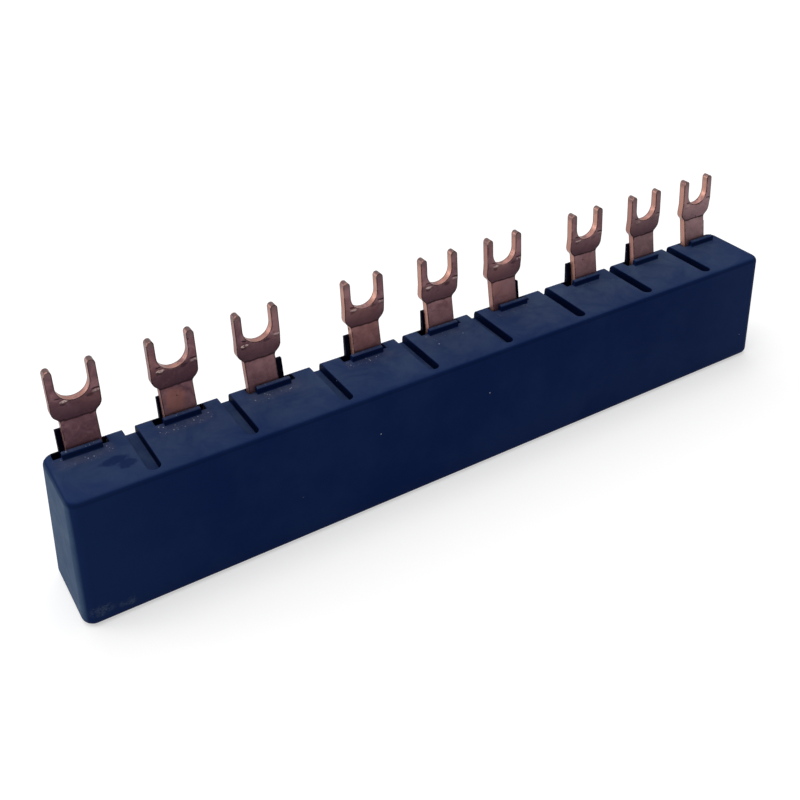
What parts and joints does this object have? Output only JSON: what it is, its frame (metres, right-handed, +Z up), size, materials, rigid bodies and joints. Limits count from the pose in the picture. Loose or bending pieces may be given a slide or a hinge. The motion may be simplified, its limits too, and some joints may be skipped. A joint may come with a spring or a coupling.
{
  "type": "comb busbar",
  "caption": "Comb busbar: insulating housing with a row of bent copper fork taps, which feeds the phases of side-by-side motor starters under their terminal screws.",
  "frame": {"origin": "middle of the housing's base, on the base plane", "axes": "+X along the row of taps, +Y towards the housing's open rear with the cover and its tabs, +Z up the forks"},
  "size_m": [0.1306, 0.0139, 0.0336],
  "materials": {
    "housing_navy": "fine satin moulded surface",
    "cover_black": "matte moulded surface",
    "copper_tarnished": "tarnished, with brighter sheared edges",
    "separator_grey": "matte extruded strip"
  },
  "bodies": {
    "root": {"housing": "housing_navy", "rear_cover": "cover_black", "busbar_l1": "copper_tarnished", "busbar_l2": "copper_tarnished", "busbar_l3": "copper_tarnished", "phase_separator_1": "separator_grey", "phase_separator_2": "separator_grey"}
  },
  "joints": []
}
